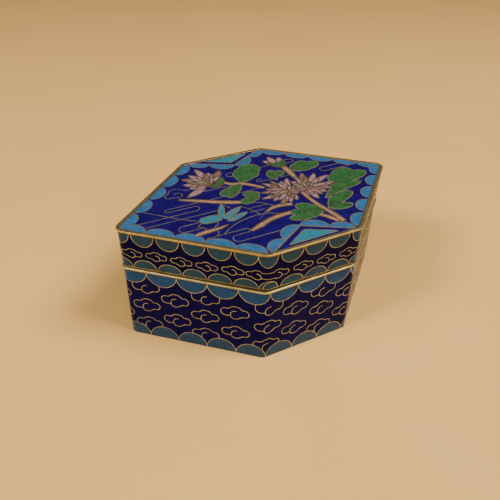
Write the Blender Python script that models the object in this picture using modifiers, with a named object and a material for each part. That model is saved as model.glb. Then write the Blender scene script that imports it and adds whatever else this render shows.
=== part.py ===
"""Small enamelled metal box with a lift-off lid, six-sided in plan: two long points and two short flats.

Metres, +Z up.  The origin is the centre of the foot.  X runs along the long diagonal, from point to
point, and Y from one short flat side to the other.
"""
import math

import bmesh
import bpy
from mathutils import Vector

# Plan, measured to the outside of the bead round the lid
half_length = 0.0360        # centre to where the sides of a long point would meet
half_width = 0.02255        # centre to a short flat side
half_flat = 0.0114          # half the length of a short flat side
point_radius = 0.0022       # rounding of the two long points
blunt_radius = 0.0024       # rounding of the four blunt corners
inner_radius = 0.0008       # least rounding of any inner corner
point_steps = 9             # straight steps round a long point
blunt_steps = 5             # straight steps round a blunt corner

# Heights
tray_height = 0.0193        # foot to the top of the mouth rim
lid_height = 0.0093         # lower edge of the lid to the top of its bead
seat_gap = 0.0003           # between pieces that touch

# Tray
foot_inset = 0.0006         # outer wall at the foot, inside the plan outline
tray_inset = 0.0005         # outer wall at the mouth
tray_wall = 0.0016          # copper with enamel on both faces
tray_floor = 0.0016
foot_edge = 0.0003          # chamfer round the foot
foot_recess = 0.0005        # the underside stands clear inside the foot edge
foot_ring = 0.0014          # width of the edge that the box stands on

# Mouth rim of the tray, with the collar that finds the lid
rim_inset = 0.0002
rim_height = 0.0006
rim_round = 0.0002
collar_height = 0.0022      # above the mouth rim
collar_wall = 0.0008
collar_play = 0.0004        # between the collar and the skirt of the lid

# Lid
skirt_inset = 0.0007        # outer wall at the lower edge
shoulder_inset = 0.0004     # outer wall under the bead
lid_wall = 0.0015
lid_plate = 0.0016
bead_width = 0.0009
bead_height = 0.0006
bead_round = 0.00015
field_drop = 0.0001         # the enamelled field lies this far below the bead's crest
edge_height = 0.0004        # thin gilt edge that closes the skirt
edge_round = 0.0001

# Places that follow
wall_top = tray_height - rim_height - seat_gap
skirt_inner = skirt_inset + lid_wall
collar_outer = skirt_inner + collar_play
collar_inner = collar_outer + collar_wall
lid_foot = tray_height + seat_gap
lid_top = lid_foot + lid_height
skirt_foot = lid_foot + edge_height + seat_gap
bead_foot = lid_top - bead_height
shoulder = bead_foot - seat_gap
field_inset = bead_width + seat_gap
field_height = lid_top - field_drop
plate_foot = field_height - lid_plate
cutter_reach = 0.0020       # how far a cutter runs past the face that it opens


def plan_corners():
    """The six corners of the plan, anticlockwise from the long point at -X."""
    return [
        Vector((-half_length, 0.0)),
        Vector((-half_flat, -half_width)),
        Vector((half_flat, -half_width)),
        Vector((half_length, 0.0)),
        Vector((half_flat, half_width)),
        Vector((-half_flat, half_width)),
    ]


def side_line(start, end, inset):
    """A side of the plan moved inwards: a point on it, its direction and its outward normal."""
    along = (end - start).normalized()
    outward = Vector((along.y, -along.x))
    return start - outward * inset, along, outward


def outline(inset):
    """Points of the plan outline at an inset, its corners rounded about the same centres as outside."""
    corners = plan_corners()
    sides = [side_line(corners[i], corners[(i + 1) % 6], inset) for i in range(6)]
    points = []
    for i, corner in enumerate(corners):
        before, along_before, outward_before = sides[i - 1]
        after, along_after, _ = sides[i]
        is_point = abs(corner.y) < half_width / 2
        radius = max((point_radius if is_point else blunt_radius) - inset, inner_radius)
        steps = point_steps if is_point else blunt_steps
        turn = along_before.angle(along_after)
        reach = (after - before).cross(along_after) / along_before.cross(along_after)
        meet = before + along_before * reach
        centre = meet - along_before * radius * math.tan(turn / 2) - outward_before * radius
        first = math.atan2(outward_before.y, outward_before.x)
        for step in range(steps + 1):
            angle = first + turn * step / steps
            points.append(centre + radius * Vector((math.cos(angle), math.sin(angle))))
    return points


def collection(name):
    made = bpy.data.collections.new(name)
    bpy.context.scene.collection.children.link(made)
    return made


def material(name, colour, roughness, metallic):
    made = bpy.data.materials.new(name)
    made.use_nodes = True
    shader = made.node_tree.nodes["Principled BSDF"]
    shader.inputs["Base Color"].default_value = (*colour, 1.0)
    shader.inputs["Roughness"].default_value = roughness
    shader.inputs["Metallic"].default_value = metallic
    made.diffuse_color = (*colour, 1.0)
    return made


def stack(name, sections, home):
    """A closed solid through outlines one above the other, each given as (inset, height)."""
    bm = bmesh.new()
    rings = [[bm.verts.new((*point, height)) for point in outline(inset)] for inset, height in sections]
    for lower, upper in zip(rings, rings[1:]):
        for i in range(len(lower)):
            bm.faces.new((lower[i - 1], lower[i], upper[i], upper[i - 1]))
    bm.faces.new(reversed(rings[0]))
    bm.faces.new(rings[-1])
    mesh = bpy.data.meshes.new(name)
    bm.to_mesh(mesh)
    bm.free()
    mesh.shade_smooth()
    mesh.set_sharp_from_angle(angle=math.radians(35))
    made = bpy.data.objects.new(name, mesh)
    home.objects.link(made)
    return made


def cutter(name, sections):
    made = stack(name, sections, cutters)
    made.hide_render = True
    made.display_type = "WIRE"
    return made


def cut(piece, tool):
    boolean = piece.modifiers.new(tool.name, "BOOLEAN")
    boolean.operation = "DIFFERENCE"
    boolean.solver = "EXACT"
    boolean.object = tool


def round_edges(piece, width, segments):
    bevel = piece.modifiers.new("rounded edges", "BEVEL")
    bevel.width = width
    bevel.segments = segments
    bevel.limit_method = "ANGLE"
    bevel.angle_limit = math.radians(60)


def base_body():
    """The tray: a floor and a wall that leans in very slightly towards the foot, open at the top."""
    piece = stack("base_body", [
        (foot_inset + foot_edge, 0.0),
        (foot_inset, foot_edge),
        (tray_inset, wall_top),
    ], box)
    cut(piece, cutter("tray_hollow", [
        (foot_inset + tray_wall, foot_recess + tray_floor),
        (tray_inset + tray_wall, wall_top),
        (tray_inset + tray_wall, wall_top + cutter_reach),
    ]))
    cut(piece, cutter("foot_hollow", [
        (foot_inset + foot_edge + foot_ring, -cutter_reach),
        (foot_inset + foot_edge + foot_ring, foot_recess),
    ]))
    piece.data.materials.append(material("tray_enamel", (0.012, 0.012, 0.130), 0.25, 0.0))


def base_rim():
    """The gilt mouth rim: a flat ring on the tray's wall, stepped up inside into the lid's collar."""
    flange_foot = tray_height - rim_height
    piece = stack("base_rim", [
        (rim_inset, flange_foot),
        (rim_inset, tray_height),
        (collar_outer, tray_height),
        (collar_outer, tray_height + collar_height),
    ], box)
    cut(piece, cutter("mouth", [
        (collar_inner, flange_foot - cutter_reach),
        (collar_inner, tray_height + collar_height + cutter_reach),
    ]))
    round_edges(piece, rim_round, 2)
    piece.data.materials.append(material("mouth_gilt", (0.78, 0.55, 0.24), 0.25, 1.0))


def lid_body():
    """The lid: a flat plate and a skirt in one, with a step round the top for the bead."""
    piece = stack("lid_body", [
        (skirt_inset, skirt_foot),
        (shoulder_inset, shoulder),
        (field_inset, shoulder),
        (field_inset, field_height),
    ], box)
    cut(piece, cutter("lid_hollow", [
        (skirt_inner, skirt_foot - cutter_reach),
        (skirt_inner, plate_foot),
    ]))
    piece.data.materials.append(material("lid_enamel", (0.012, 0.016, 0.320), 0.25, 0.0))


def ring(name, outer, width, foot, top):
    """A flat ring that follows the plan, as wide as the wall that it sits on."""
    piece = stack(name, [(outer, foot), (outer, top)], box)
    cut(piece, cutter(name + "_middle", [
        (outer + width, foot - cutter_reach),
        (outer + width, top + cutter_reach),
    ]))
    return piece


def lid_top_rim():
    """The gilt bead round the top edge of the lid."""
    piece = ring("lid_top_rim", 0.0, bead_width, bead_foot, lid_top)
    round_edges(piece, bead_round, 3)
    piece.data.materials.append(material("bead_gilt", (0.70, 0.48, 0.20), 0.30, 1.0))


def lid_lower_rim():
    """The thin gilt edge that closes the skirt and meets the mouth rim."""
    piece = ring("lid_lower_rim", skirt_inset, lid_wall, lid_foot, lid_foot + edge_height)
    round_edges(piece, edge_round, 1)
    piece.data.materials.append(material("edge_gilt", (0.55, 0.36, 0.15), 0.35, 1.0))


for leftover in list(bpy.data.objects):
    bpy.data.objects.remove(leftover, do_unlink=True)

box = collection("enamel_box")
cutters = collection("cutters")

base_body()
base_rim()
lid_body()
lid_top_rim()
lid_lower_rim()
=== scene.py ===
"""Looks of the small enamelled box: its fired enamel, gilt partition wires and gilt rims.

Ornament is drawn in millimetres on flat panels: the lid's field as (x, y), and each wall unrolled as
(distance round the box, height).  Everything is turned to metres when a mesh is made.
"""
import math

import bmesh
import bpy
import numpy as np
from mathutils import Matrix, Vector
from mathutils.geometry import delaunay_2d_cdt


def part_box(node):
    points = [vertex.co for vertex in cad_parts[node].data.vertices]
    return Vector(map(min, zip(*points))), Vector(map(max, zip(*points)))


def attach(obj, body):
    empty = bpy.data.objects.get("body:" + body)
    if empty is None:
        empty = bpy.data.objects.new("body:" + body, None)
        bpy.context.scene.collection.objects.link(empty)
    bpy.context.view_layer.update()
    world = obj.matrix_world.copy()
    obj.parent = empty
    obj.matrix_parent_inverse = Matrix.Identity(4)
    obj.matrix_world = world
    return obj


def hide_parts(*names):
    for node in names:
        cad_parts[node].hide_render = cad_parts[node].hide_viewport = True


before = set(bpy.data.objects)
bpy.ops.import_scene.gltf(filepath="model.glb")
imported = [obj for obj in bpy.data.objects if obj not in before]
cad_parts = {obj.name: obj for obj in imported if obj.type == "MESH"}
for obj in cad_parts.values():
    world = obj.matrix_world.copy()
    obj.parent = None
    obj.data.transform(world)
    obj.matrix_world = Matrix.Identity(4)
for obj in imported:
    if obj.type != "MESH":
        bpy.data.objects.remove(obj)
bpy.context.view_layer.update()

MM = 0.001

# The plan of the box, as the solids have it, in millimetres
HALF_LENGTH = 36.0          # centre to where the sides of a long point would meet
HALF_FLAT = 11.4            # half a short flat side
HALF_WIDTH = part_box("lid_top_rim")[1].y / MM
POINT_RADIUS = 2.2
BLUNT_RADIUS = 2.4
INNER_RADIUS = 0.8
POINT_STEPS = 18
BLUNT_STEPS = 10

# Heights and insets of the solids, in millimetres
WALL_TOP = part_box("base_body")[1].z / MM
MOUTH_TOP = 19.3
MOUTH_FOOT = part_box("base_rim")[0].z / MM + 0.10   # the enamel runs up over the rim's foot
COLLAR_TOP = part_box("base_rim")[1].z / MM
EDGE_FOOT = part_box("lid_lower_rim")[0].z / MM
EDGE_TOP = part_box("lid_lower_rim")[1].z / MM
SHOULDER = 28.0
BEAD_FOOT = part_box("lid_top_rim")[0].z / MM
BEAD_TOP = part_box("lid_top_rim")[1].z / MM
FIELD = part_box("lid_body")[1].z / MM
FOOT_INSET = 0.6
TRAY_INSET = 0.5
SKIRT_INSET = 0.46          # the enamel of the lid swells out to just inside the rims
SHOULDER_INSET = 0.24
RIM_INSET = 0.2
TRAY_WALL = 1.6
TRAY_FLOOR = 1.6
FOOT_RECESS = 0.5
FOOT_RING = 1.4
FOOT_EDGE = 0.3
LID_WALL = 1.5
LID_PLATE = 1.6
COLLAR_OUTER = 2.6
COLLAR_INNER = 3.4
BEAD_WIDTH = 0.9

# Enamel and wires
SKIN = 0.30                 # depth of the coloured enamel over the copper
WIRE = 0.24                 # width of a partition wire, as it shows
WIRE_RISE = 0.010           # how far a wire stands over the enamel
WIRE_STEP = 0.002           # wires that cross differ in height by a few of these
WIRE_SINK = 0.10            # how deep a wire runs into the enamel
WIRE_CREST = 0.72           # share of its width that is its flat top
BURIED = 0.12               # how deep the copper lies under the face of the enamel
LAP = 0.05                  # how far copper and enamel run in under a rim
ROOT_LAP = 0.02             # how far a scallop's root runs in under a rim
LIGHT_NET = 0
BROWN_NET = 1               # the wires of the branches and blossoms, and the veins
REFERENCE = 0.55            # inset at which distances round the box are true
WALL_REACH = 0.35           # longest straight facet of a wire on a wall, which bends round the corners
FIELD_REACH = 1.2           # and on the flat field
WIRE_SAMPLES = 0.22         # how finely a wire is tested for what covers it
LOBE_SAMPLES = 0.15         # and the outlines of lobes that merge
WELD = 0.002                # points of the enamel nearer than this are one


# Plan

CORNERS = [Vector(place) for place in (
    (-HALF_LENGTH, 0.0), (-HALF_FLAT, -HALF_WIDTH), (HALF_FLAT, -HALF_WIDTH),
    (HALF_LENGTH, 0.0), (HALF_FLAT, HALF_WIDTH), (-HALF_FLAT, HALF_WIDTH),
)]


def heading(angle):
    return Vector((math.cos(angle), math.sin(angle)))


def outward(along):
    return Vector((along.y, -along.x))


def rounded_corner(i, inset):
    """Centre, radius, first angle, turn and step count of a corner of the plan at an inset."""
    corner = CORNERS[i]
    along_before = (corner - CORNERS[i - 1]).normalized()
    along_after = (CORNERS[(i + 1) % 6] - corner).normalized()
    out = outward(along_before)
    before = corner - out * inset
    after = corner - outward(along_after) * inset
    turn = along_before.angle(along_after)
    meet = before + along_before * ((after - before).cross(along_after) / along_before.cross(along_after))
    is_point = i in (0, 3)
    radius = max((POINT_RADIUS if is_point else BLUNT_RADIUS) - inset, INNER_RADIUS)
    centre = meet - along_before * radius * math.tan(turn / 2) - out * radius
    return centre, radius, math.atan2(out.y, out.x), turn, POINT_STEPS if is_point else BLUNT_STEPS


def outline(inset):
    """Points of the rounded plan at an inset, anticlockwise from the long point at -X."""
    points = []
    for i in range(6):
        centre, radius, first, turn, steps = rounded_corner(i, inset)
        points += [centre + radius * heading(first + turn * step / steps) for step in range(steps + 1)]
    return points


class Plan:
    """Distance round the box, from the middle of the long point at -X, anticlockwise."""

    def __init__(self):
        self.pieces = []
        self.middle = []
        self.length = 0.0
        corners = [rounded_corner(i % 6, REFERENCE) for i in range(7)]
        for i, (centre, radius, first, turn, steps) in enumerate(corners):
            angle = first + turn / 2 if i == 0 else first
            sweep = turn / 2 if i in (0, 6) else turn
            self.middle.append(self.length + (0.0 if i == 0 else radius * sweep / 2))
            self.add("arc", radius * sweep, centre, radius, angle, steps)
            if i < 6:
                next_centre, next_radius, next_first, _, _ = corners[i + 1]
                end = centre + radius * heading(angle + sweep)
                way = next_centre + next_radius * heading(next_first) - end
                self.add("flat", way.length, end, way / way.length, None, 0)

    def add(self, kind, length, *form):
        self.pieces.append((kind, self.length, self.length + length, *form))
        self.length += length

    def place(self, s, inset):
        """The point of the plan at a distance round it and an inset, in millimetres."""
        s = s % self.length
        for kind, start, end, origin, size, angle, _ in self.pieces:
            if s <= end:
                break
        if kind == "arc":
            return origin + (size + REFERENCE - inset) * heading(angle + (s - start) / size)
        return origin + size * (s - start) + outward(size) * (REFERENCE - inset)

    def stations(self):
        """Distances where the wall bends, at which a flat facet may end."""
        found = []
        for kind, start, end, _, _, _, steps in self.pieces:
            if kind == "arc":
                count = max(2, round(steps * (0.5 if start == 0.0 or end == self.length else 1.0)))
                found += [start + (end - start) * k / count for k in range(count + 1)]
        return found

    def along(self, side, x):
        """Distance round the box of a place x from the corner where a side starts."""
        return self.middle[side] + x - self.lead(side)

    def lead(self, side):
        """How much shorter the way round half a rounded corner is than the way to its sharp corner."""
        _, radius, _, turn, _ = rounded_corner(side, REFERENCE)
        return radius * math.tan(turn / 2) - radius * turn / 2


plan = Plan()


# Lines and shapes in two dimensions, lists of (x, y) in millimetres

def arc(cx, cy, radius, start, end, steps=10, squash=1.0):
    """Points on an arc, its angles in degrees."""
    angles = [math.radians(start + (end - start) * k / steps) for k in range(steps + 1)]
    return [(cx + radius * math.cos(a), cy + squash * radius * math.sin(a)) for a in angles]


def between(a, b, c, d, t):
    """A smooth line's coordinate at a share t of the way from b to c, with a before and d after."""
    square = (2 * a - 5 * b + 4 * c - d) * t * t
    cube = (3 * b - a - 3 * c + d) * t ** 3
    return 0.5 * (2 * b + (c - a) * t + square + cube)


def curve(points, steps=7):
    """A smooth line through a few points."""
    points = [points[0], *points, points[-1]]
    made = []
    for quad in zip(points, points[1:], points[2:], points[3:]):
        for k in range(steps):
            made.append(tuple(between(*values, k / steps) for values in zip(*quad)))
    return made + [tuple(points[-2])]


def moved(points, dx=0.0, dy=0.0, turn=0.0, scale=1.0, flip=1.0):
    """A shape mirrored, scaled, turned by degrees and then moved."""
    c, s = math.cos(math.radians(turn)), math.sin(math.radians(turn))
    return [(dx + scale * (c * flip * x - s * y), dy + scale * (s * flip * x + c * y)) for x, y in points]


def resampled(points, step, closed):
    """The same line with points no further apart than a step, and its corners kept."""
    ends = list(points) + ([points[0]] if closed else [])
    made = []
    for (x0, y0), (x1, y1) in zip(ends, ends[1:]):
        count = max(1, math.ceil(math.hypot(x1 - x0, y1 - y0) / step))
        made += [(x0 + (x1 - x0) * k / count, y0 + (y1 - y0) * k / count) for k in range(count)]
    return made if closed else made + [tuple(ends[-1])]


def anticlockwise(points):
    """The same closed shape, wound anticlockwise."""
    turned = sum(x0 * y1 - x1 * y0 for (x0, y0), (x1, y1) in zip(points, points[1:] + points[:1]))
    return points if turned > 0 else points[::-1]


def inside(points, polygon):
    """Which of the points lie in a closed shape."""
    x, y = np.asarray(points, float).T
    px, py = np.asarray(polygon, float).T
    found = np.zeros(len(x), bool)
    box = (x >= px.min()) & (x <= px.max()) & (y >= py.min()) & (y <= py.max())
    if not box.any():
        return found
    qx, qy = np.roll(px, -1), np.roll(py, -1)
    bx, by = x[box][:, None], y[box][:, None]
    spans = (py > by) != (qy > by)
    slope = np.where(qy == py, 1e-12, qy - py)
    found[box] = (spans & (bx < px + (by - py) * (qx - px) / slope)).sum(1) % 2 == 1
    return found


class Panel:
    """A surface of enamel cells and partition wires, laid down like paint, the later over the earlier."""

    def __init__(self, ground, width, wrap=None, bounds=None):
        self.enamels = [ground]
        self.width = width
        self.bounds = bounds
        self.shifts = (0.0,) if wrap is None else (-wrap, 0.0, wrap)
        self.cells = []
        self.wires = []
        self.net = LIGHT_NET

    def cell(self, points, enamel, wire=None, closed=True):
        """A filled cell with a wire round it: the panel's usual one, another width, or none at 0."""
        if enamel not in self.enamels:
            self.enamels.append(enamel)
        number = self.enamels.index(enamel)
        for shift in self.shifts:
            self.cells.append(([(x + shift, y) for x, y in anticlockwise(list(points))], number))
        if wire != 0:
            self.wire(points, closed, wire)

    def wire(self, points, closed=False, width=None):
        self.wires.append((points, closed, width or self.width, len(self.cells), self.net))

    def draw(self, lines):
        for line in lines:
            self.wire(line)

    def visible_wires(self, net):
        """The stretches of each wire of a net that no later cell covers: (points, closed, width)."""
        for points, closed, width, order, own in self.wires:
            if own != net:
                continue
            line = resampled(points, WIRE_SAMPLES, closed)
            hidden = ~inside(line, self.bounds) if self.bounds else np.zeros(len(line), bool)
            for polygon, _ in self.cells[order:]:
                hidden |= inside(line, polygon)
            for run, whole in shown_runs(line, hidden, closed):
                yield run, whole, width

    def merged(self, shapes, enamel, width):
        """Several overlapping cells of one enamel that share a single wire round them all."""
        for shape in shapes:
            self.cell(shape, enamel, 0)
        for number, shape in enumerate(shapes):
            line = resampled(shape, LOBE_SAMPLES, True)
            hidden = np.zeros(len(line), bool)
            for other in shapes[:number] + shapes[number + 1:]:
                hidden |= inside(line, other)
            for run, whole in shown_runs(line, hidden, True):
                self.wire(run, whole, width)


def shown_runs(line, hidden, closed):
    """The stretches of a line whose points aren't hidden, each with whether it is closed."""
    if not hidden.any():
        yield line, closed
        return
    if closed:
        turn = int(np.argmax(hidden))
        line = line[turn:] + line[:turn]
        hidden = np.roll(hidden, -turn)
    run = []
    for point, gone in zip(line + [None], list(hidden) + [True]):
        if not gone:
            run.append(point)
            continue
        if len(run) > 2:
            yield run, False
        run = []


# Meshes

def metres(x, y, z):
    return Vector((x * MM, y * MM, z * MM))


def placed(name, data):
    made = bpy.data.objects.new(name, data)
    bpy.context.scene.collection.objects.link(made)
    return made


def new_object(name, bm, materials, smooth_angle=40.0):
    mesh = bpy.data.meshes.new(name)
    bm.to_mesh(mesh)
    bm.free()
    for entry in materials:
        mesh.materials.append(entry)
    mesh.shade_smooth()
    mesh.set_sharp_from_angle(angle=math.radians(smooth_angle))
    return placed(name, mesh)


def enamel_skin(panel, name, domain, lines, place):
    """The enamel of a panel as one closed layer, cut into its cells."""
    verts, faces, edges = [], [], []

    def add(points):
        first = len(verts)
        verts.extend(Vector(p) for p in points)
        return list(range(first, first + len(points)))

    faces.append(add(domain))
    for start, end in lines:
        edges.append(tuple(add([start, end])))
    owners = [0]
    left, right = min(x for x, _ in domain), max(x for x, _ in domain)
    for polygon, enamel in panel.cells:
        xs = [x for x, _ in polygon]
        if max(xs) > left and min(xs) < right:
            faces.append(add(polygon))
            owners.append(enamel)
    inner_only, tolerance = 1, 1e-5
    out_verts, _, out_faces, _, _, origins = delaunay_2d_cdt(verts, edges, faces, inner_only, tolerance)
    bm = bmesh.new()
    depth = bm.verts.layers.float_vector.new("depth")
    made = []
    for v in out_verts:
        made.append(bm.verts.new(place(v.x, v.y, 0.0)))
        made[-1][depth] = place(v.x, v.y, -SKIN) - made[-1].co
    centres = [sum((out_verts[i] for i in f), Vector((0.0, 0.0))) / len(f) for f in out_faces]
    kept = inside([tuple(c) for c in centres], domain)
    for corners, origin, keep in zip(out_faces, origins, kept):
        if keep and len(set(corners)) == 3:
            face = bm.faces.new([made[i] for i in corners])
            face.material_index = owners[max(origin)] if origin else 0
    bmesh.ops.delete(bm, geom=[v for v in bm.verts if not v.link_faces], context="VERTS")
    bmesh.ops.remove_doubles(bm, verts=bm.verts, dist=WELD * MM)
    deepen(bm, depth)
    return new_object(name, bm, [ENAMELS[enamel] for enamel in panel.enamels])


def neighbours(rings, closed):
    """Each ring with the next one, and the last with the first where the run is closed."""
    return list(zip(rings, rings[1:] + (rings[:1] if closed else [])))


def deepen(bm, depth):
    """Make an open sheet a closed layer: a twin sheet at each vertex's depth, and a wall round both."""
    rim = [edge for edge in bm.edges if len(edge.link_faces) == 1]
    sheet = list(bm.faces)
    twin = {v: bm.verts.new(v.co + v[depth]) for v in list(bm.verts)}
    for face in sheet:
        bm.faces.new([twin[v] for v in reversed(face.verts)]).material_index = face.material_index
    for edge in rim:
        a, b = edge.verts
        bm.faces.new((a, b, twin[b], twin[a]))
    bmesh.ops.recalc_face_normals(bm, faces=bm.faces)


def wire_net(panel, name, place, material, reach, net=LIGHT_NET):
    """One net of a panel's wires, as flat-topped ribbons with facets up to a reach; their sides take a
    darker gilt, painted shade that damps the lamps' glints.
    """
    bm = bmesh.new()
    for number, (line, closed, width) in enumerate(panel.visible_wires(net)):
        line = thinned(line, closed, reach)
        count = len(line)
        rise = WIRE_RISE + WIRE_STEP * (number % 5)
        rings = []
        for i, (x, y) in enumerate(line):
            before = line[i - 1] if closed or i > 0 else line[0]
            after = line[(i + 1) % count] if closed or i < count - 1 else line[-1]
            dx, dy = after[0] - before[0], after[1] - before[1]
            size = math.hypot(dx, dy) or 1.0
            nx, ny = -dy / size, dx / size
            waver = 0.10 * math.sin(1.9 * x + 2.3 * y + number) + 0.06 * math.sin(5.1 * x - 3.7 * y)
            half = width * (1.0 + waver) / 2
            crest = WIRE_CREST * half
            section = ((-half, -WIRE_SINK), (-crest, rise), (crest, rise), (half, -WIRE_SINK))
            corners = [place(x + nx * across, y + ny * across, lift) for across, lift in section]
            rings.append([bm.verts.new(corner) for corner in corners])
        for a, b in neighbours(rings, closed):
            for k in range(4):
                face = bm.faces.new((a[k], a[(k + 1) % 4], b[(k + 1) % 4], b[k]))
                # The sides take the darker gilt: painted shade that damps the lamps' glints on the wires'
                # bevels.
                is_side = k in (0, 2)
                face.material_index = 1 if is_side else 0
        if not closed:
            bm.faces.new(rings[0])
            bm.faces.new(rings[-1][::-1])
    bmesh.ops.recalc_face_normals(bm, faces=bm.faces)
    return new_object(name, bm, [material, DARK_GILT_AND_PAINTED_SHADE], 50.0)


def thinned(line, closed, reach):
    """The line without points that lie on a straight stretch, unless the stretch is longer than a reach."""
    kept = [line[0]]
    for here, after in zip(line[1:], line[2:] + [line[0]]):
        before = kept[-1]
        ax, ay = here[0] - before[0], here[1] - before[1]
        bx, by = after[0] - here[0], after[1] - here[1]
        bend = abs(ax * by - ay * bx) / ((math.hypot(ax, ay) * math.hypot(bx, by)) or 1.0)
        if bend > 0.004 or math.hypot(ax, ay) > reach:
            kept.append(here)
    if not closed and kept[-1] != line[-1]:
        kept.append(line[-1])
    return kept


def stacked(name, sections, materials, bands=None, closed=False, waver=None):
    """A solid swept round the plan through (inset, height); its ends are capped unless it is a ring."""
    bm = bmesh.new()
    rings = []
    for inset, height in sections:
        ring = []
        for point in outline(inset):
            lift = waver(point) if waver else 0.0
            ring.append(bm.verts.new(metres(point.x, point.y, height + lift)))
        rings.append(ring)
    bands = bands or [0] * len(rings)
    for band_material, (lower, upper) in zip(bands, neighbours(rings, closed)):
        for i in range(len(lower)):
            face = bm.faces.new((lower[i - 1], lower[i], upper[i], upper[i - 1]))
            face.material_index = band_material
    if not closed:
        bm.faces.new(rings[0][::-1]).material_index = bands[0]
        bm.faces.new(rings[-1]).material_index = bands[-1]
    bmesh.ops.recalc_face_normals(bm, faces=bm.faces)
    return new_object(name, bm, materials)


# Materials

# Sizes of the marks in enamel and gilding, in millimetres
PATCH = 2.6                 # where the colour runs deeper
FLECK = 0.9                 # where it runs paler
TINGE = 1.5                 # where it runs to its tint
GRAIN = 0.45
PIN_HOLE_GAP = 0.55
RIPPLE = 1.6                # soft waves of the polished enamel
WEAR = 1.8                  # worn patches of the gilding
BRUSHING = 0.25
ENAMEL_ROUGHNESS = 0.16


class Nodes:
    """A few words for building the nodes of a material or of the world."""

    def __init__(self, owner, coordinates="Object", shader="Principled BSDF"):
        owner.use_nodes = True
        self.tree = owner.node_tree
        self.shader = self.tree.nodes[shader]
        self.where = self.new("ShaderNodeTexCoord").outputs[coordinates]

    def new(self, kind, inputs=None, **settings):
        node = self.tree.nodes.new(kind)
        for key, value in settings.items():
            setattr(node, key, value)
        self.feed(node, inputs or {})
        return node

    def feed(self, node, inputs):
        """Give inputs of a node their numbers, colours or the outputs of other nodes."""
        for name, value in inputs.items():
            if isinstance(value, bpy.types.NodeSocket):
                self.tree.links.new(value, node.inputs[name])
            else:
                node.inputs[name].default_value = (*value, 1.0) if isinstance(value, tuple) else value

    def noise(self, size, detail=3.0, roughness=0.55):
        """Soft noise whose features are about a size in millimetres."""
        scale = 1.0 / (size * MM)
        inputs = {"Vector": self.where, "Scale": scale, "Detail": detail, "Roughness": roughness}
        return self.new("ShaderNodeTexNoise", inputs).outputs["Fac"]

    def spots(self, size):
        """Distance to scattered points about a size in millimetres apart."""
        inputs = {"Vector": self.where, "Scale": 1.0 / (size * MM)}
        return self.new("ShaderNodeTexVoronoi", inputs).outputs["Distance"]

    def ramp(self, value, low, high, to_low=0.0, to_high=1.0):
        inputs = {"Value": value, "From Min": low, "From Max": high, "To Min": to_low, "To Max": to_high}
        return self.new("ShaderNodeMapRange", inputs, clamp=True).outputs["Result"]

    def mix(self, factor, a, b):
        inputs = {"Factor": factor, "A": a, "B": b}
        return self.new("ShaderNodeMix", inputs, data_type="RGBA").outputs["Result"]

    def bump(self, height, distance, strength, normal=None):
        inputs = {"Height": height, "Distance": distance * MM, "Strength": strength}
        if normal:
            inputs["Normal"] = normal
        return self.new("ShaderNodeBump", inputs).outputs["Normal"]


def shade(colour, share):
    """A colour made deeper or paler."""
    return tuple(min(1.0, share * c) for c in colour)


def enamel(name, colour, deeper=0.6, paler=1.5, gloss=0.28, tint=None):
    """Fired enamel: its colour runs deeper, paler and to a tint in patches, with grain and pin holes."""
    material = bpy.data.materials.new(name)
    n = Nodes(material)
    deep = shade(colour, deeper)
    grain = n.ramp(n.noise(GRAIN, 4.0, 0.65), 0.32, 0.70)
    body = n.mix(n.ramp(n.noise(PATCH), 0.35, 0.68), deep, colour)
    body = n.mix(n.ramp(n.noise(FLECK, 2.0), 0.52, 0.80), body, shade(colour, paler))
    if tint:
        body = n.mix(n.ramp(n.noise(TINGE, 2.0), 0.47, 0.60, 0.0, 0.85), body, tint)
    body = n.mix(n.ramp(grain, 0.0, 1.0, 0.0, 0.22), body, deep)
    pits = n.ramp(n.spots(PIN_HOLE_GAP), 0.03, 0.09, 1.0, 0.0)
    body = n.mix(n.ramp(pits, 0.0, 1.0, 0.0, 0.55), body, shade(deep, 0.35))
    n.feed(n.shader, {
        "Base Color": body,
        "Roughness": n.ramp(grain, 0.0, 1.0, ENAMEL_ROUGHNESS, ENAMEL_ROUGHNESS + 0.14),
        "Normal": n.bump(pits, 0.012, 0.6, n.bump(n.noise(RIPPLE, 2.0), 0.020, 0.5)),
        "IOR": 1.5,
        "Specular IOR Level": gloss,
    })
    material.diffuse_color = (*colour, 1.0)
    return material


def gilt(name, colour, worn, roughness):
    """Thin gilding: warm, a little worn to brown in patches, with a faint brushed grain."""
    material = bpy.data.materials.new(name)
    n = Nodes(material)
    patches = n.ramp(n.noise(WEAR, 4.0), 0.42, 0.72)
    fine = n.noise(BRUSHING, 3.0, 0.7)
    n.feed(n.shader, {
        "Base Color": n.mix(patches, colour, worn),
        "Roughness": n.ramp(fine, 0.3, 0.7, roughness, roughness + 0.16),
        "Normal": n.bump(fine, 0.008, 0.5),
        "Metallic": 1.0,
    })
    material.diffuse_color = (*colour, 1.0)
    return material


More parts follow.
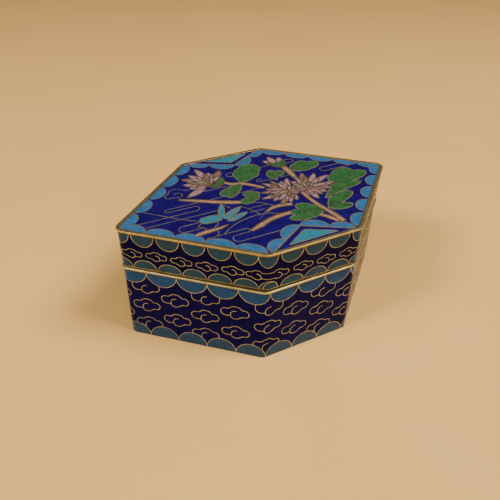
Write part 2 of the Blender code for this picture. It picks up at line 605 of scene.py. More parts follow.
ENAMELS = {name: enamel(name, *look) for name, *look in (
    # Name, colour, how much deeper and paler it runs, gloss and tint
    ("field_blue", (0.0092, 0.0008, 0.092), 0.50),
    ("wall_blue", (0.0024, 0.0006, 0.050), 0.60, 1.5, 0.04),
    ("skirt_blue", (0.0014, 0.0005, 0.034), 0.60, 1.5, 0.04),
    ("sky_blue", (0.026, 0.098, 0.215), 0.75, 1.3),
    ("steel_blue", (0.011, 0.056, 0.145), 0.75, 1.3, 0.10),
    ("foot_blue", (0.018, 0.052, 0.100), 0.75, 1.3, 0.14),
    ("teal", (0.013, 0.050, 0.085), 0.70, 1.4, 0.10, (0.018, 0.044, 0.054)),
    ("turquoise", (0.018, 0.145, 0.205), 0.75, 1.3, 0.28, (0.020, 0.138, 0.170)),
    ("pink", (0.275, 0.143, 0.178), 0.70, 1.3, 0.22, (0.215, 0.115, 0.118)),
    ("rose", (0.185, 0.095, 0.090), 0.65, 1.5, 0.22, (0.125, 0.072, 0.048)),
    ("white", (0.200, 0.185, 0.145), 0.70, 1.5),
    ("green", (0.020, 0.098, 0.029), 0.50, 1.6, 0.22, (0.038, 0.082, 0.031)),
    ("sand", (0.300, 0.160, 0.088), 0.70, 1.3, 0.24),
    ("tan", (0.205, 0.103, 0.055), 0.65, 1.6, 0.24, (0.285, 0.160, 0.095)),
)}
COUNTER = enamel("counter_enamel", (0.030, 0.160, 0.260), 0.75, 1.3)
GILT_WIRE = gilt("gilt_wire", (0.41, 0.43, 0.34), (0.27, 0.27, 0.20), 0.34)
GILT_FIELD = gilt("gilt_field", (0.43, 0.37, 0.23), (0.28, 0.24, 0.14), 0.46)
GILT_BROWN = gilt("gilt_brown", (0.27, 0.20, 0.11), (0.17, 0.13, 0.07), 0.44)
GILT_RIM = gilt("gilt_rim", (0.52, 0.45, 0.21), (0.35, 0.29, 0.12), 0.37)
GILT_BEAD = gilt("gilt_bead", (0.49, 0.37, 0.15), (0.34, 0.25, 0.10), 0.37)
# A darker gilt: used for the copper shells at the foot and under the enamel, and as painted shade on the
# wires' sides and on the lid's lower edge.
DARK_GILT_AND_PAINTED_SHADE = gilt("dark_gilt_and_painted_shade", (0.20, 0.155, 0.080), (0.12, 0.090, 0.048), 0.32)


# Ornament of the walls

def scallop(middle, half, root, depth, side):
    """A half-round cell that hangs down (side -1) or stands up (side 1) from a root height."""
    return arc(middle, root, half, 0.0, 180.0 * side, 22, depth / half)


def row_of_scallops(panel, places, root, depth, side, enamel):
    """Scallops at places given as (middle, half width)."""
    for middle, half in places:
        panel.cell(scallop(middle, half, root, depth, side), enamel, closed=False)


def spans(joints):
    """Middles and half widths between joints."""
    return [((left + right) / 2, (right - left) / 2) for left, right in zip(joints, joints[1:])]


# The arcs of a cloud, about its middle
CLOUD_WIDTH = 6.5
CLOUD_CURL = arc(0.05, -0.62, 1.15, 80, 195, 8, 0.95)
CLOUD_BOTTOM = arc(0.00, -0.95, 1.12, 205, 325, 8, 0.78)
CLOUD_RIGHT = arc(2.15, 0.05, 1.02, 248, 470, 12, 0.98)
CLOUD_TOP = arc(0.05, 0.88, 1.42, 15, 165, 10, 0.66)
CLOUD_LEFT = arc(-2.25, -0.05, 1.08, 72, 280, 12, 0.98)
CLOUD_JOIN = [(-1.12, -1.05)]


def drawn(lines, x, y, width, own_width=CLOUD_WIDTH, squash=1.0):
    """Lines of a cloud at a place and of a width over all; squashed ones are mirrored too."""
    flip = 1.0 if squash == 1.0 else -1.0
    lines = [[(px, squash * py) for px, py in line] for line in lines]
    return [moved(line, x, y, 0.0, width / own_width, flip) for line in lines]


def cloud(x, y, width, squash=1.0):
    """A small lobed cloud whose lower lobe curls into its middle."""
    line = CLOUD_CURL + CLOUD_BOTTOM + CLOUD_RIGHT + CLOUD_TOP + CLOUD_LEFT + CLOUD_JOIN
    return drawn([line], x, y, width, squash=squash)


def hanging_cloud(x, y, width):
    """The lower half of a cloud whose upper half lies behind the scallops."""
    main = CLOUD_CURL + CLOUD_BOTTOM + arc(2.15, 0.05, 1.02, 248, 360, 8) + [(3.17, 1.25)]
    left = [(-3.33, 1.25), (-3.33, -0.05)] + arc(-2.25, -0.05, 1.08, 180, 280, 8) + CLOUD_JOIN
    return drawn([main, left], x, y, width)


def rising_cloud(x, y, width):
    """The upper half of a cloud that stands behind the foot scallops, and the start of its curl."""
    over = arc(2.15, 0.05, 1.02, -50, 110, 12) + CLOUD_TOP + arc(-2.25, -0.05, 1.08, 72, 225, 12)
    return drawn([over, CLOUD_CURL + [(-1.35, -1.7)]], x, y, width)


def double_cloud(x, y, width, squash):
    """A long cloud with two curls: its outline, and the lower edge between the curls."""
    apart = 3.0
    right = moved(CLOUD_CURL + CLOUD_BOTTOM + CLOUD_RIGHT + CLOUD_TOP, apart)
    left = moved(CLOUD_TOP + CLOUD_LEFT + CLOUD_JOIN, -apart)
    lower = moved(CLOUD_CURL + CLOUD_BOTTOM, -apart) + [(apart - 1.12, -1.05)]
    return drawn([right + left, lower], x, y, width, CLOUD_WIDTH + 2 * apart, squash)


TRAY_CLOUD = 6.35
CLOUD_LAG = 0.5             # how far the clouds of the first side stand before their joints
TRAY_PITCH = 6.87           # of the mouth scallops on the front
TRAY_FRONT = 8              # scallops at that pitch, from the long point to the second blunt corner
TRAY_COUNT = 26
TRAY_CORNER = 5             # the joint of two scallops by the first blunt corner
TRAY_SHIFT = 0.95           # and how far past that corner it lies
MOUTH_DEPTH = 3.30
FOOT_COUNT = 25
FOOT_SHIFT = 5.4            # from the long point to the second joint
FOOT_DEPTH = 3.35
FOOT_ROOT = 0.12
CLOUD_ROWS = ((cloud, 12.15), (cloud, 6.40)), ((hanging_cloud, 14.60), (cloud, 9.35), (rising_cloud, 3.95))


def mouth_joints():
    """Joints of the mouth scallops: a chosen pitch on the front, the rest spread over the hidden sides."""
    first = plan.along(1, TRAY_SHIFT) - TRAY_CORNER * TRAY_PITCH
    joints = [first + TRAY_PITCH * k for k in range(TRAY_FRONT + 1)]
    hidden = TRAY_COUNT - TRAY_FRONT
    gap = (plan.length - TRAY_PITCH * TRAY_FRONT) / hidden
    return joints + [joints[-1] + gap * (k + 1) for k in range(hidden)]


def foot_joints():
    first = plan.along(0, FOOT_SHIFT) - plan.length / FOOT_COUNT
    return [first + plan.length * k / FOOT_COUNT for k in range(FOOT_COUNT + 1)]


def tray_ornament():
    """Scallops round the mouth and the foot, and clouds in staggered rows between them."""
    panel = Panel("wall_blue", WIRE, plan.length)
    joints = mouth_joints()
    for number, joint in enumerate(joints[:-1]):
        lag = CLOUD_LAG if number < TRAY_CORNER else 0.0
        for row, (draw, height) in enumerate(CLOUD_ROWS[number % 2]):
            sway = 0.15 * math.sin(2.7 * number + 1.9 * row) - lag
            panel.draw(draw(joint + sway, height + 0.1 * math.sin(number), TRAY_CLOUD))
    row_of_scallops(panel, spans(joints), MOUTH_FOOT - ROOT_LAP, MOUTH_DEPTH, -1.0, "steel_blue")
    row_of_scallops(panel, spans(foot_joints()), FOOT_ROOT, FOOT_DEPTH, 1.0, "foot_blue")
    return panel


LONG_SCALLOPS = [6.0 + 5.55 * k for k in range(5)]
HIGH_SHORT = [5.5 + 5.7 * k for k in range(3)]
LOW_SHORT = [6.0 + 5.85 * k for k in range(3)]
LID_WIRE = 0.21
LID_CLOUD = 4.7
LID_DOUBLE_CLOUD = 9.3
LID_CLOUD_HEIGHT = 23.45
LID_CLOUD_SQUASH = 0.86
LID_CLOUDS = ((0, 3.15, 5.55, 5), (1, 8.40, 5.75, 3), (2, 3.30, 5.40, 6))   # side, first, pitch and count
HIGH_DEPTH = 2.70
LOW_DEPTH = 1.98
LOOP_SHIFT, LOOP_HALF, LOOP_DEPTH = 0.85, 1.55, 1.80    # a loop beside the low scallop of a blunt corner


def half_turn(places):
    """Places on the first three sides, and the same again half way round the box."""
    return [(s + turn, size) for turn in (0.0, plan.length / 2) for s, size in places]


def lid_row(short, blunt_shift, half):
    """Middles and half widths of one row of scallops round the lid."""
    places = [(plan.middle[0], 2.6)]
    places += [(plan.along(0, x), half) for x in LONG_SCALLOPS]
    places += [(plan.middle[1] + blunt_shift, 2.0)]
    places += [(plan.along(1, x), half + 0.15) for x in short]
    places += [(plan.middle[2] + blunt_shift, 2.15)]
    places += [(plan.middle[3] + plan.lead(3) - x, half) for x in reversed(LONG_SCALLOPS)]
    return half_turn(places)


def lid_ornament():
    """Scallops down from the bead and up from the lower edge, and one row of clouds."""
    panel = Panel("skirt_blue", LID_WIRE, plan.length)
    places = [
        (plan.along(side, first + pitch * k), LID_CLOUD)
        for side, first, pitch, count in LID_CLOUDS for k in range(count)
    ]
    for number, (place, width) in enumerate(half_turn(places)):
        height = LID_CLOUD_HEIGHT + 0.1 * math.sin(1.7 * number)
        panel.draw(cloud(place, height, width, LID_CLOUD_SQUASH))
    for place, width in half_turn([(plan.along(1, 0.25), LID_DOUBLE_CLOUD)]):
        panel.draw(double_cloud(place, LID_CLOUD_HEIGHT, width, LID_CLOUD_SQUASH))
    high, low = BEAD_FOOT - ROOT_LAP, EDGE_TOP + ROOT_LAP
    row_of_scallops(panel, lid_row(HIGH_SHORT, 0.15, 2.48), high, HIGH_DEPTH, -1.0, "teal")
    row_of_scallops(panel, lid_row(LOW_SHORT, 0.45, 2.58), low, LOW_DEPTH, 1.0, "teal")
    for place, half in half_turn([(plan.middle[1] + LOOP_SHIFT, LOOP_HALF)]):
        panel.wire(scallop(place, half, low, LOOP_DEPTH, 1.0))
    return panel


# Ornament of the lid's field, as (x, y)

def bent(start, end, lean, steps):
    """A line from start to end, bowed sideways by a share of its length."""
    dx, dy = end[0] - start[0], end[1] - start[1]
    line = []
    for k in range(steps + 1):
        t = k / steps
        bow = lean * math.sin(math.pi * t) / 2
        line.append((start[0] + dx * t - dy * bow, start[1] + dy * t + dx * bow))
    return line


def band(middle, halves):
    """The outline of a band along a line, with its half width at each of the line's points."""
    left, right = [], []
    last = len(middle) - 1
    for k, ((x, y), half) in enumerate(zip(middle, halves)):
        (x0, y0), (x1, y1) = middle[max(0, k - 1)], middle[min(last, k + 1)]
        size = math.hypot(x1 - x0, y1 - y0)
        nx, ny = (y0 - y1) / size * half, (x1 - x0) / size * half
        left.append((x + nx, y + ny))
        if half > 1e-6:
            right.append((x - nx, y - ny))
    return left + right[::-1]


def petal(base, tip, width, lean=0.0):
    """A long petal with a pointed tip."""
    steps = 12
    halves = [width / 2 * math.sin(math.pi * (0.16 + 0.84 * k / steps)) ** 0.75 for k in range(steps)]
    return band(bent(base, tip, lean, steps), halves + [0.0])


def leaf(stem, tip, width, lobes=2, lean=0.0, notch=0.20):
    """A leaf with a pointed stem end, a round tip and softly lobed edges, and its middle vein."""
    steps = 22
    middle = bent(stem, tip, lean, steps)
    halves = []
    for k in range(steps + 1):
        t = k / steps
        body = min(1.0, t / 0.38) ** 0.75 * math.sqrt(max(0.0, 1.0 - max(0.0, (t - 0.50) / 0.50) ** 2.8))
        halves.append(width / 2 * body * (1.0 - notch * (1.0 - abs(math.sin(math.pi * lobes * t)) ** 0.6)))
    return band(middle, halves), middle[:round(0.72 * steps)]


def branch(points, share=1.0):
    """A tapering band along a smooth line through (x, y, width), with a share of that width."""
    middle = curve([(x, y) for x, y, _ in points], steps=8)
    widths = [share * width for _, _, width in points]
    halves = []
    for k in range(len(middle)):
        place = k / (len(middle) - 1) * (len(widths) - 1)
        low = min(int(place), len(widths) - 2)
        halves.append((widths[low] + (widths[low + 1] - widths[low]) * (place - low)) / 2)
    return band(middle, halves)


def meander(start, turns, end, heights):
    """A line that runs level and doubles back in round turns: the x of each turn, the y of each run."""
    line = [(start, heights[0])]
    for turn, y0, y1 in zip(turns, heights, heights[1:]):
        side = 1.0 if turn > line[-1][0] else -1.0
        radius = abs(y1 - y0) / 2
        first = 90.0 if y0 > y1 else -90.0
        bow = arc(turn, (y0 + y1) / 2, radius, first, -first, 10)
        line += [(turn + side * (x - turn), y) for x, y in bow]
    line.append((end, heights[-1]))
    return line


FINE_WIRE = 0.30            # mist, feelers and scallops
CELL_WIRE = 0.40            # leaves and branches
PETAL_WIRE = 0.42
VEIN_WIRE = 0.22
GABLE_WIRE = 0.56
EDGE_ROOT = 1.00            # inset of the straight side of the border's scallops, under the bead
EDGE_SQUASH = 0.70
EDGE_JOINTS = (0.6, 7.0, 13.3, 19.8, 26.3, 32.8)
# Corners that a side runs between, how far its scallops are moved along it, and their share of the pitch
EDGE_SIDES = ((0, 1, 0.0, 1.0), (3, 2, 0.2, 0.86), (3, 4, 0.0, 1.0), (0, 5, 0.7, 0.93))


def border(panel):
    """Five scallops along each long side of the field, apart from one another on two sides."""
    for start, end, shift, share in EDGE_SIDES:
        origin = CORNERS[start]
        along = (CORNERS[end] - origin).normalized()
        inward = Vector((-along.y, along.x))
        if inward.dot(-origin) < 0.0:
            inward = -inward
        for left, right in zip(EDGE_JOINTS, EDGE_JOINTS[1:]):
            half = share * (right - left) / 2
            shape = arc((left + right) / 2 + shift, EDGE_ROOT, half, 0, 180, 20, EDGE_SQUASH / share)
            points = [origin + along * x + inward * y for x, y in shape]
            panel.cell([tuple(p) for p in points], "sky_blue", closed=False)


GABLE_HALF = 10.4
GABLE_SLOPE = 12.2          # length of the slope along which its scallops' places are given
GABLE_SCALLOPS = ((3.15, 3.15, 2.5), (9.1, 2.75, 2.3))      # place along the slope, half width, depth
GABLE_RIM = 1.65            # between the apexes of the outer and the inner triangle
GABLE_SILL = 1.05           # between their lower sides
GABLE_INNER = (-5.9, 6.3)   # lower corners of the inner triangle


def gable(panel, side, apex, foot, middle):
    """A low triangle on a short side of the field, with one inside it and two scallops on each slope."""
    for lean in (-1.0, 1.0):
        dx, dy = lean * GABLE_HALF, foot - apex
        length = math.hypot(dx, dy)
        turn = math.degrees(math.atan2(dy, dx))
        for centre, half, depth in GABLE_SCALLOPS:
            shape = arc(centre * length / GABLE_SLOPE, 0.0, half, 0, 180, 20, depth / half)
            flipped = [(x, -lean * side * y) for x, y in shape]
            panel.cell(moved(flipped, middle, apex, turn), "sky_blue", closed=False)
    outer = [(middle - GABLE_HALF, foot), (middle, apex), (middle + GABLE_HALF, foot)]
    panel.cell(outer, "field_blue", GABLE_WIRE, closed=False)
    sill = foot - side * GABLE_SILL
    left, right = GABLE_INNER
    inner = [(middle + left, sill), (middle, apex + side * GABLE_RIM), (middle + right, sill)]
    panel.cell(inner, "turquoise", CELL_WIRE)


def scrolls(panel):
    """Fine wires that swirl like mist across the ground."""
    panel.draw([
        meander(0.0, (-23.0, -17.0), -30.6, (2.55, 1.35, -0.55)),
        [(-30.4, -2.5), (-13.0, -2.5)],
        meander(-18.0, (-22.4,), -18.7, (-5.3, -7.6)),
        meander(-19.8, (-10.9, -13.7), -4.6, (-11.7, -13.1, -15.5)),
        curve([(-15.7, -11.6), (-12.4, -9.4), (-8.0, -8.1), (-4.0, -8.2), (-1.4, -9.4)]),
        [(-12.8, 6.7), (-6.2, 6.7)],
        meander(-1.9, (-3.0,), -1.9, (12.6, 10.7)),
        meander(3.0, (1.9,), 5.7, (6.4, 5.4)),
        [(7.3, 5.4), (10.2, 5.4)],
        [(5.0, 12.2), (8.4, 12.2)],
        meander(12.9, (14.6,), 12.9, (13.3, 11.4)),
        meander(26.0, (20.0,), 27.6, (5.5, 3.5)),
        [(-6.3, -4.8), (-1.7, -4.8)],
        [(-7.1, -6.3), (-3.2, -6.3)],
        curve([(-4.6, -2.6), (-2.6, -3.7), (-0.6, -6.0)]),
    ])
    mist = arc(-18.2, 7.6, 0.95, 150, -95, 10)
    mist += arc(-20.3, 7.9, 1.0, 265, 95, 8, 0.95)
    mist += arc(-18.3, 8.9, 1.75, 170, 60, 8)
    mist += [(-16.4, 9.6), (-15.2, 8.7)]
    panel.wire(mist)


CORE_SHARE = 0.42           # width of the paler core of a branch
BRANCHES = (
    # Points on each branch's line, as (x, y, width)
    ((-18.9, 5.6, 0.5), (-16.0, 3.8, 1.2), (-12.5, 1.6, 1.4), (-8.6, -0.6, 1.5), (-6.2, -1.6, 1.1)),
    ((-6.3, 9.0, 1.0), (-4.6, 7.2, 1.3), (-2.4, 6.4, 1.3), (-0.4, 4.5, 1.1), (1.4, 2.2, 1.1)),
    ((11.4, 11.0, 1.3), (11.3, 8.5, 1.8), (11.2, 6.5, 1.6), (10.9, 3.4, 1.2)),
    ((-21.2, -9.6, 0.9), (-18.6, -9.3, 1.3), (-15.6, -9.2, 0.9), (-13.4, -8.7, 0.2)),
    ((-10.0, -12.9, 0.7), (-7.4, -12.0, 1.4), (-4.0, -10.7, 1.3), (0.0, -10.2, 1.4), (2.6, -10.4, 0.9)),
    ((-3.8, -7.8, 0.4), (-1.6, -6.8, 1.0), (0.8, -6.6, 1.2), (3.4, -7.2, 1.1)),
    ((6.4, -13.5, 1.2), (7.4, -15.0, 1.2), (8.8, -17.6, 1.2)),
    ((8.4, -3.4, 1.0), (8.4, -8.0, 1.1), (8.9, -12.0, 1.2), (9.4, -15.0, 1.3), (9.7, -18.3, 1.4)),
)


def branches(panel):
    for points in BRANCHES:
        panel.cell(branch(points), "tan", CELL_WIRE)
        panel.cell(branch(points, CORE_SHARE), "sand", 0)
    panel.wire(curve([(-6.5, -10.0), (-4.6, -8.4), (-3.4, -7.6)]))


LEAF_GROUPS = (
    # Each leaf is a few lobes, and each lobe is (stem, tip, width, waves along its edge, lean)
    (((-2.3, 6.9), (5.0, 14.5), 6.2, 3, 0.05), ((-1.2, 8.0), (-0.6, 12.7), 3.2, 1, 0.0)),
    (((-2.6, 6.5), (-9.4, 3.4), 3.2, 2, 0.12), ((-3.4, 4.9), (-8.3, 1.5), 2.0, 1, -0.04)),
    (((-0.7, 0.6), (-4.6, 1.5), 2.4, 1, 0.10), ((-1.0, 0.4), (-6.8, -1.9), 2.7, 2, 0.14)),
    (((6.2, 4.4), (7.4, 9.6), 2.5, 1, 0.16), ((6.9, 6.2), (9.9, 8.0), 2.5, 1, 0.10)),
    (((12.0, 7.2), (18.2, 10.2), 3.4, 2, 0.05), ((12.4, 6.8), (20.9, 8.8), 3.6, 2, -0.06)),
    (((11.7, -8.3), (24.7, -4.9), 2.9, 1, 0.16), ((15.6, -5.2), (29.0, -1.0), 4.5, 2, 0.14),
     ((16.6, -4.4), (26.2, 2.0), 4.6, 2, 0.14)),
    (((9.8, -12.6), (19.4, -8.2), 3.4, 1, 0.14), ((10.2, -13.0), (15.9, -13.1), 2.3, 1, 0.05)),
    (((8.4, -12.7), (-0.4, -12.4), 2.8, 2, 0.10), ((8.2, -12.9), (3.6, -8.2), 3.4, 2, -0.10),
     ((8.3, -12.6), (1.0, -10.3), 2.6, 2, 0.0)),
)
RINGED_LEAVES = LEAF_GROUPS[1:3]
RING_SHARE = 0.58           # size of the wire inside a ringed leaf


def shrunk(shape, share):
    """A closed shape drawn in towards its own middle."""
    middle_x = sum(x for x, _ in shape) / len(shape)
    middle_y = sum(y for _, y in shape) / len(shape)
    return [(middle_x + share * (x - middle_x), middle_y + share * (y - middle_y)) for x, y in shape]


def leaves(panel):
    for group in LEAF_GROUPS:
        lobes = [leaf(*lobe) for lobe in group]
        panel.net = LIGHT_NET
        panel.merged([shape for shape, _ in lobes], "green", CELL_WIRE)
        panel.net = BROWN_NET
        for shape, vein in lobes:
            if group in RINGED_LEAVES:
                panel.wire(shrunk(shape, RING_SHARE), True, VEIN_WIRE)
            else:
                panel.wire(vein, width=VEIN_WIRE)


def fan(panel, petals, width, enamel, lean=0.05):
    """Petals given as (base x, base y, tip x, tip y), each laid over the one before."""
    for number, (x0, y0, x1, y1) in enumerate(petals):
        panel.cell(petal((x0, y0), (x1, y1), width, lean * (-1) ** number), enamel, PETAL_WIRE)


def spray(panel, heart, first, last, lengths, width, enamels, root=0.28):
    """Petals from one heart at even angles, laid from both ends towards the middle one."""
    count = len(lengths)
    for number in sorted(range(count), key=lambda k: -abs(k - (count - 1) / 2)):
        away = heading(math.radians(first + (last - first) * number / (count - 1)))
        base = Vector(heart) + away * root * lengths[number]
        tip = Vector(heart) + away * lengths[number]
        shape = petal(tuple(base), tuple(tip), width, 0.06 * (-1) ** number)
        panel.cell(shape, enamels[number % len(enamels)], PETAL_WIRE)


def flowers(panel):
    """A blossom seen from the side, a bud, and two open blossoms side by side."""
    for x, y, radius in ((-10.2, 10.6, 2.0), (6.4, -1.5, 2.2), (10.3, -1.7, 2.2)):
        panel.cell(arc(x, y, radius, 0, 345, 23), "rose", PETAL_WIRE)
    heart = (-9.2, 9.6)
    lengths = (8.5, 5.6, 6.6, 7.5, 7.0, 8.6, 5.8, 7.4)
    spray(panel, heart, 207, 48, lengths, 2.0, ("pink", "pink", "pink", "rose"))
    spray(panel, heart, 196, 38, (5.2, 5.4, 5.5, 5.6, 5.3, 5.6, 4.9, 4.6), 1.35, ("pink", "pink", "rose"))
    spray(panel, heart, 178, 60, (4.0, 3.9, 3.8, 3.6), 1.0, ("rose", "white"), 0.10)
    fan(panel, ((-6.6, 8.7, -10.0, 8.1), (-7.8, 8.2, -5.5, 11.6)), 1.9, "green", 0.12)
    fan(panel, ((10.7, 11.6, 8.1, 15.2), (10.8, 11.6, 13.2, 15.3), (10.7, 11.4, 10.5, 16.8)), 2.1, "pink")
    fan(panel, ((11.0, 10.2, 8.7, 13.9), (11.2, 10.2, 13.2, 13.6), (11.1, 10.0, 11.0, 13.3)), 1.7, "green")
    heart = (6.0, -1.7)
    lengths = (4.5, 5.4, 7.0, 6.3, 7.8, 6.9, 5.6, 7.3, 6.6, 5.2, 6.6)
    spray(panel, heart, 264, 64, lengths, 1.5, ("pink", "pink", "rose"))
    lengths = (3.6, 4.6, 5.2, 5.4, 5.0, 4.9, 5.2, 4.8, 4.4)
    spray(panel, heart, 254, 76, lengths, 1.2, ("rose", "pink", "pink"))
    spray(panel, heart, 236, 60, (2.8, 3.1, 3.3, 3.0), 0.9, ("rose", "white"), 0.10)
    heart = (10.8, -2.0)
    lengths = (4.7, 6.1, 7.5, 8.0, 8.9, 7.6, 6.2, 5.0, 4.6, 5.8, 4.0)
    spray(panel, heart, 114, -118, lengths, 1.65, ("pink", "pink", "rose", "pink"))
    spray(panel, heart, 124, -98, (3.9, 5.0, 5.6, 6.0, 5.6, 4.6, 3.9, 3.6), 1.3, ("pink", "pink", "rose"))
    spray(panel, heart, 136, 24, (3.4, 3.3, 3.2, 3.4, 3.2), 0.95, ("white", "rose", "white", "rose"), 0.10)


def cricket(panel):
    """A small insect under the branch, with long feelers and thin legs."""
    panel.draw(curve(points) for points in (
        [(-18.2, -5.0), (-21.0, -2.9), (-24.6, 0.5), (-28.4, 4.3)],
        [(-17.6, -5.6), (-19.4, -6.7), (-18.5, -7.6), (-18.3, -8.6)],
        [(-15.0, -6.4), (-15.2, -7.6), (-16.6, -8.7), (-16.4, -10.4), (-17.1, -11.5)],
        [(-10.7, -0.9), (-10.3, -2.0), (-10.0, -3.0)],
        [(-7.6, -3.0), (-6.4, -5.0), (-5.2, -8.2)],
    ))
    for base, tip, width, veins in (
        ((-12.4, -7.4), (-7.4, -5.9), 1.5, (0.0,)),
        ((-13.0, -6.2), (-7.6, -3.1), 1.7, (-0.25, 0.25)),
        ((-13.5, -5.6), (-10.9, -0.1), 1.3, (0.0,)),
        ((-12.6, -7.0), (-11.2, -7.7), 0.9, ()),
    ):
        panel.cell(petal(base, tip, width), "turquoise", CELL_WIRE)
        for offset in veins:
            dx, dy = tip[0] - base[0], tip[1] - base[1]
            aside = offset / math.hypot(dx, dy)
            start_x, start_y = base[0] - dy * aside, base[1] + dx * aside
            panel.wire([(start_x + dx * t, start_y + dy * t) for t in (0.2, 0.8)], width=VEIN_WIRE)
    body = arc(-16.6, -5.2, 1.75, 90, 270, 12, 0.78) + arc(-14.6, -5.25, 1.25, 270, 450, 12, 1.05)
    panel.cell(body, "turquoise", CELL_WIRE)
    for x in (-16.7, -14.3):
        panel.wire(arc(x - 0.9, -5.2, 1.25, -70, 70, 8), width=VEIN_WIRE)


def field_ornament():
    """The picture on the lid, laid down from the ground up."""
    panel = Panel("field_blue", FINE_WIRE, bounds=[tuple(p) for p in outline(BEAD_WIDTH - 0.08)])
    scrolls(panel)
    border(panel)
    gable(panel, -1.0, -15.7, -22.0, 0.1)
    gable(panel, 1.0, 16.2, 22.2, 0.4)
    panel.net = BROWN_NET
    branches(panel)
    leaves(panel)
    panel.net = LIGHT_NET
    cricket(panel)
    panel.net = BROWN_NET
    flowers(panel)
    return panel


# The pieces

def on_field(x, y, lift):
    return metres(x, y, FIELD + lift)


def on_wall(low, low_inset, high, high_inset):
    """Places on a wall that leans between two insets."""
    def place(s, z, lift):
        inset = low_inset + (high_inset - low_inset) * (z - low) / (high - low)
        point = plan.place(s, inset - lift)
        return metres(point.x, point.y, z)
    return place


def wall_skin(panel, name, low, high, place):
    domain = [(0.0, low), (plan.length, low), (plan.length, high), (0.0, high)]
    lines = [((s, low), (s, high)) for s in plan.stations() if 0.0 < s < plan.length]
    return enamel_skin(panel, name, domain, lines, place)


def tray():
    """The copper tray with its counter-enamel, the enamelled wall and its wires, and the gilt mouth."""
    ring_outer = FOOT_INSET + FOOT_EDGE
    ring_inner = ring_outer + FOOT_RING
    hollow = FOOT_INSET + TRAY_WALL
    floor_top = FOOT_RECESS + TRAY_FLOOR
    shell = stacked("tray_shell", [
        (ring_inner, FOOT_RECESS), (ring_inner, 0.06), (ring_inner - 0.06, 0.0), (ring_outer, 0.0),
        (FOOT_INSET + 0.10, 0.10), (FOOT_INSET + BURIED, 0.30),
        (TRAY_INSET + BURIED, MOUTH_FOOT + LAP), (TRAY_INSET + TRAY_WALL, MOUTH_FOOT + LAP),
        (hollow + 0.4, floor_top + 0.1), (hollow + 0.9, floor_top),
    ], [DARK_GILT_AND_PAINTED_SHADE, COUNTER], [0, 0, 0, 0, 0, 0, 0, 1, 1])
    underside = shell.data.polygons[-2]     # inside the ring that the box stands on
    underside.material_index = 1
    place = on_wall(0.0, FOOT_INSET, WALL_TOP, TRAY_INSET)
    panel = tray_ornament()
    skin = wall_skin(panel, "tray_enamel", 0.10, MOUTH_FOOT + LAP, place)
    wires = wire_net(panel, "tray_wires", place, GILT_WIRE, WALL_REACH)
    rim = ring_piece("mouth_rim", [
        (RIM_INSET, MOUTH_FOOT), (COLLAR_INNER, MOUTH_FOOT), (COLLAR_INNER, COLLAR_TOP),
        (COLLAR_OUTER, COLLAR_TOP), (COLLAR_OUTER, MOUTH_TOP), (RIM_INSET, MOUTH_TOP),
    ], (0.14, 0.10, 0.25, 0.25, 0.0, 0.20), GILT_RIM)
    return shell, skin, wires, rim


def ring_piece(name, corners, rounds, material, waver=None):
    """A gilt ring whose section is a polygon with rounded corners, each corner (inset, height)."""
    section = []
    count = len(corners)
    for i, (inset, height) in enumerate(corners):
        radius = rounds[i]
        if radius == 0.0:
            section.append((inset, height))
            continue
        here = Vector((inset, height))
        before = (Vector(corners[i - 1]) - here).normalized()
        after = (Vector(corners[(i + 1) % count]) - here).normalized()
        start, end = here + before * radius, here + after * radius
        centre = here + (before + after) * radius
        for k in range(6):
            t = math.radians(90.0 * k / 5)
            point = centre + (start - centre) * math.cos(t) + (end - centre) * math.sin(t)
            section.append((point.x, point.y))
    return stacked(name, section, [material], closed=True, waver=waver)


SEAM_OPEN = 0.27            # how far the lid's lower edge rises at one blunt corner
SEAM_REACH = 15.0           # and how far from there it is felt
SEAM_CLOSED = 0.20          # how far the edge comes down everywhere


def sprung(point):
    """How far the lower edge of the lid is moved up at a point of the plan."""
    away = (point - Vector((-HALF_FLAT, -HALF_WIDTH))).length
    return SEAM_OPEN * math.exp(-(away / SEAM_REACH) ** 2) - SEAM_CLOSED


def lid():
    """The copper lid with its counter-enamel, the enamelled wall and field, their wires, bead and edge."""
    hollow = SKIRT_INSET + LID_WALL
    plate_foot = FIELD - LID_PLATE
    shell = stacked("lid_shell", [
        (hollow + 0.6, plate_foot), (hollow, plate_foot - 0.6),
        (hollow, EDGE_FOOT + 0.25), (SKIRT_INSET + BURIED, EDGE_FOOT + 0.25),
        (SHOULDER_INSET + BURIED, BEAD_FOOT + LAP), (BEAD_WIDTH - 0.1, BEAD_FOOT + LAP),
        (BEAD_WIDTH - 0.1, FIELD - 0.10),
    ], [COUNTER, DARK_GILT_AND_PAINTED_SHADE], [0, 0, 1, 1, 1, 1])
    place = on_wall(EDGE_TOP, SKIRT_INSET, SHOULDER, SHOULDER_INSET)
    side = lid_ornament()
    skin = wall_skin(side, "lid_side_enamel", EDGE_TOP - 0.06, BEAD_FOOT + LAP, place)
    side_wires = wire_net(side, "lid_side_wires", place, GILT_WIRE, WALL_REACH)
    field = field_ornament()
    domain = [tuple(p) for p in outline(BEAD_WIDTH - 0.12)]
    top = enamel_skin(field, "lid_field_enamel", domain, [], on_field)
    top_wires = wire_net(field, "lid_field_wires", on_field, GILT_FIELD, FIELD_REACH)
    brown_wires = wire_net(field, "lid_brown_wires", on_field, GILT_BROWN, FIELD_REACH, BROWN_NET)
    bead = ring_piece("lid_bead", [
        (0.0, BEAD_FOOT), (BEAD_WIDTH, BEAD_FOOT), (BEAD_WIDTH, BEAD_TOP), (0.0, BEAD_TOP),
    ], (0.34, 0.03, 0.05, 0.10), GILT_BEAD)
    # The lid's lower edge is a gilt ring like the bead; its darker gilt is painted shade.
    edge = ring_piece("lid_edge", [
        (SKIRT_INSET - 0.03, EDGE_FOOT), (hollow, EDGE_FOOT),
        (hollow, EDGE_TOP + 0.02), (SKIRT_INSET - 0.03, EDGE_TOP + 0.02),
    ], (0.12, 0.12, 0.05, 0.08), DARK_GILT_AND_PAINTED_SHADE, sprung)
    return shell, skin, side_wires, top, (top_wires, brown_wires), bead, edge


# Camera, floor and light

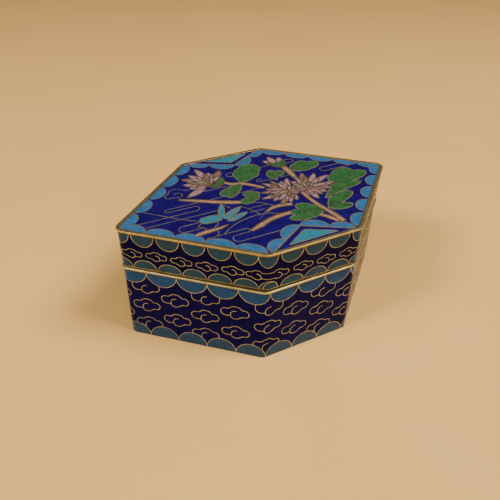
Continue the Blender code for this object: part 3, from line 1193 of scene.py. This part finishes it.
FOCAL = 37.62
CAMERA_PLACE = (-54.22, -92.69, 87.89)
CAMERA_YAW, CAMERA_PITCH, CAMERA_ROLL = -0.5031, 0.6123, 0.0258
FLOOR_DEEP = (0.665, 0.366, 0.096)
FLOOR_PALE = (0.690, 0.386, 0.107)
HORIZON = (0.050, 0.046, 0.040)
ZENITH = (0.42, 0.39, 0.34)
LIGHTS = (
    # Name, place, size, power and colour
    ("left", (-0.56, -0.03, 0.49), 0.20, 4.9, (1.0, 0.97, 0.92)),
    ("right", (0.30, -0.27, 0.63), 0.32, 6.9, (1.0, 0.97, 0.93)),
    ("front", (-0.05, -0.75, 0.42), 0.50, 1.9, (1.0, 0.97, 0.93)),
)


def camera():
    data = bpy.data.cameras.new("camera")
    data.sensor_width = 36.0
    data.lens = FOCAL
    data.clip_start = 0.005
    made = placed("camera", data)
    place = Matrix.Translation(Vector(CAMERA_PLACE) * MM)
    for angle, axis in (CAMERA_YAW, "Z"), (math.pi / 2 - CAMERA_PITCH, "X"), (CAMERA_ROLL, "Z"):
        place = place @ Matrix.Rotation(angle, 4, axis)
    made.matrix_world = place
    bpy.context.scene.camera = made


def floor():
    bm = bmesh.new()
    bmesh.ops.create_grid(bm, x_segments=2, y_segments=2, size=3.0)
    material = bpy.data.materials.new("floor")
    n = Nodes(material)
    tone = n.mix(n.ramp(n.noise(60.0, 2.0), 0.3, 0.7), FLOOR_DEEP, FLOOR_PALE)
    n.feed(n.shader, {"Base Color": tone, "Roughness": 0.9})
    made = new_object("floor", bm, [material])


def studio_world():
    """Soft daylight from above that fades towards the horizon, so that the glossy lid mirrors little."""
    world = bpy.data.worlds.new("studio")
    bpy.context.scene.world = world
    n = Nodes(world, "Generated", "Background")
    height = n.new("ShaderNodeSeparateXYZ", {"Vector": n.where}).outputs["Z"]
    n.feed(n.shader, {"Color": n.mix(n.ramp(height, 0.60, 0.95), HORIZON, ZENITH), "Strength": 1.0})


def lights():
    """Soft round lights that look at the box."""
    for name, place, size, power, colour in LIGHTS:
        data = bpy.data.lights.new(name, "AREA")
        data.shape = "DISK"
        data.size = size
        data.energy = power
        data.color = colour
        made = placed(name, data)
        made.location = place
        made.rotation_euler = (-Vector(place)).to_track_quat("-Z", "Y").to_euler()


def dress():
    camera()
    floor()
    studio_world()
    lights()
    shell, skin, wires, rim = tray()
    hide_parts("base_body")
    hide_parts("base_rim")
    lid_shell, lid_skin, side_wires, top, top_wires, bead, edge = lid()
    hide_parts("lid_body")
    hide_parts("lid_top_rim")
    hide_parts("lid_lower_rim")
    finishes = {
        "tray_enamel": (shell, skin),
        "lid_enamel": (lid_shell, lid_skin, top),
        "gilt": (wires, rim, side_wires, *top_wires, bead, edge),
    }
    for slot, pieces in finishes.items():
        for piece in pieces:
            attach(piece, "root")


dress()
